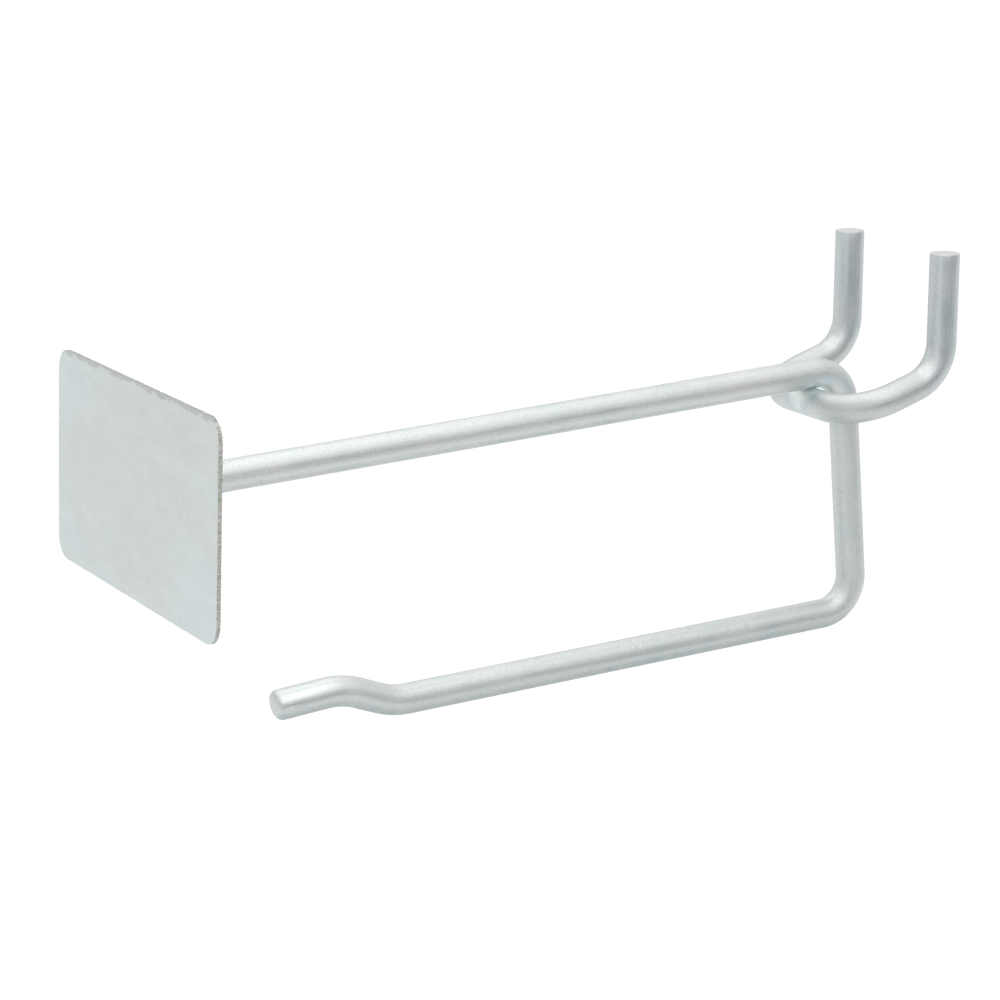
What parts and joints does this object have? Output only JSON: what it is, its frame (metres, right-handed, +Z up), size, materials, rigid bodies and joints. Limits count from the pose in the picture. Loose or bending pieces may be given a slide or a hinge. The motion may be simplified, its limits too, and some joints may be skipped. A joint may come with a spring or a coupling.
{
  "type": "pegboard hook",
  "caption": "Zinc-plated wire pegboard hook: a long goods arm with a raised nose under an upper arm that carries a label plate, hung by two upturned prongs.",
  "frame": {"origin": "on the front face of the board the hook hangs from, midway between its two holes", "axes": "+Z up, -Y out of the board towards the shopper, +X to the shopper's right"},
  "size_m": [0.057, 0.1396, 0.0641],
  "materials": {
    "wire": "zinc plated steel wire, satin",
    "plate": "zinc plated steel sheet, satin, softly mottled"
  },
  "bodies": {
    "root": {"arm_wire": "wire", "prong_wire": "wire", "label_plate": "plate"}
  },
  "joints": []
}
